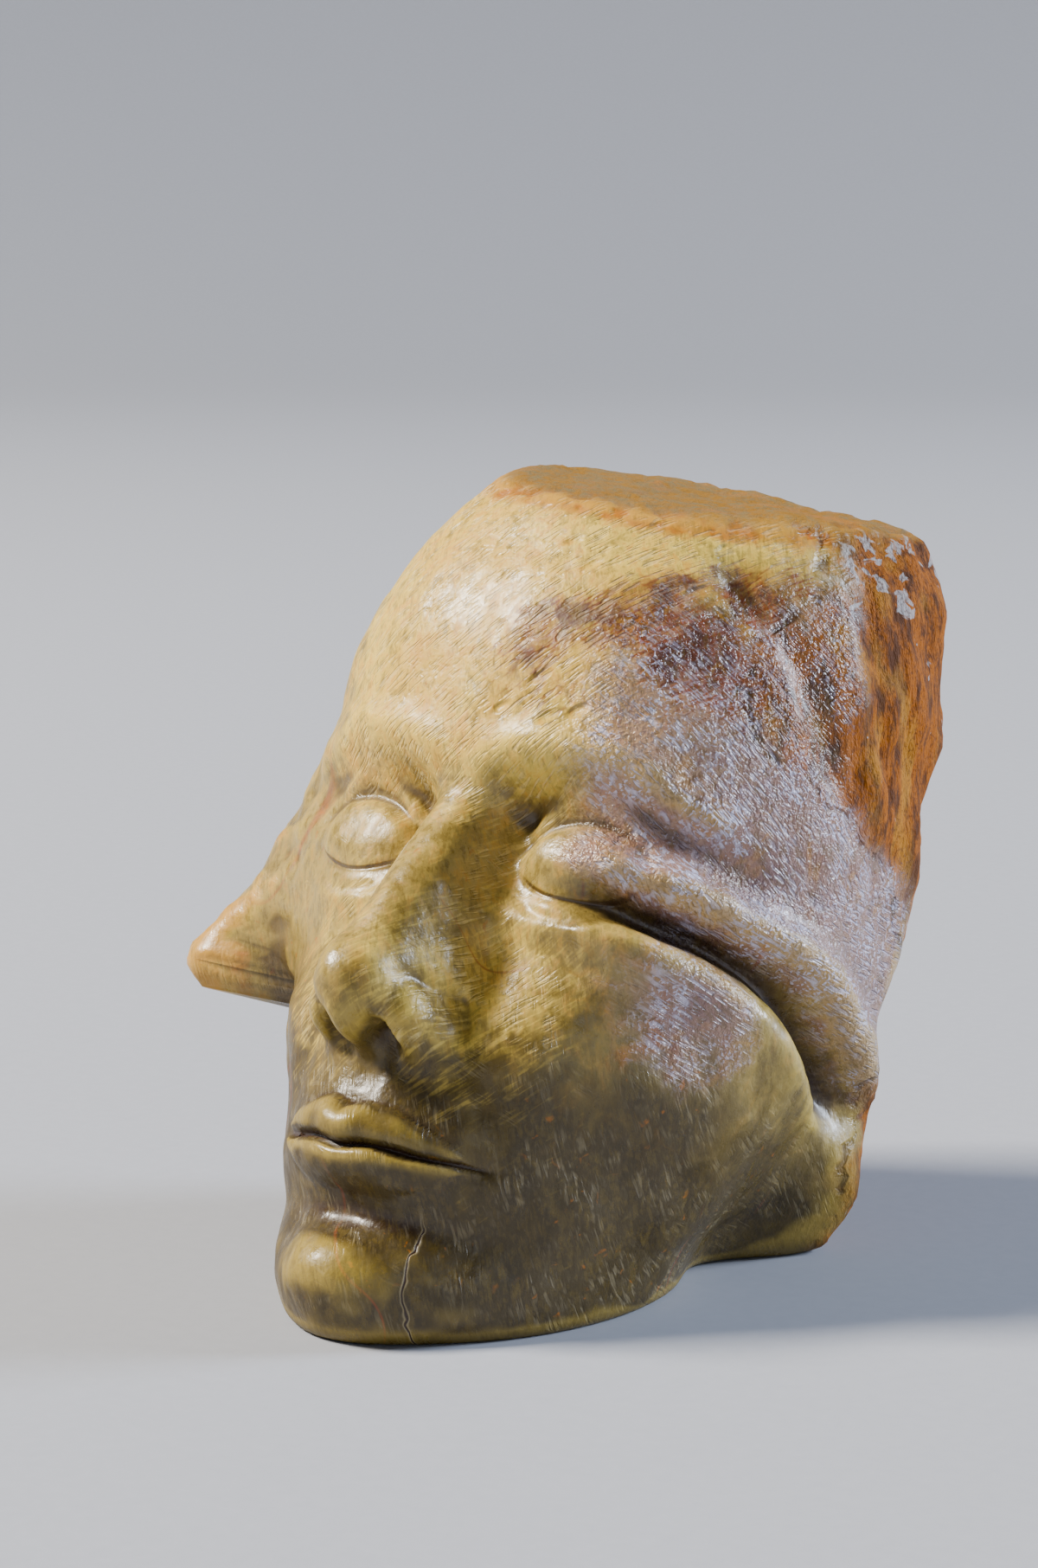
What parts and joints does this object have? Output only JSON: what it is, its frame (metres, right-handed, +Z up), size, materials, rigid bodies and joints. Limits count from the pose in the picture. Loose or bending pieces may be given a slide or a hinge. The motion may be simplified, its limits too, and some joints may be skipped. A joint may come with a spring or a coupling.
{
  "type": "carved stone face",
  "caption": "Palm-sized block of polished brown-green stone carved as a calm face leaning back, raw stone left on its top, back and far side, resting on a flat underside.",
  "frame": {"origin": "a point of the flat underside, under the middle of the block", "axes": "+Z up, -Y the way the face looks, +X to the face's own left"},
  "size_m": [0.0849, 0.0864, 0.0969],
  "materials": {
    "stone": "satin"
  },
  "bodies": {
    "root": {"carved_stone_face": "stone"}
  },
  "joints": []
}
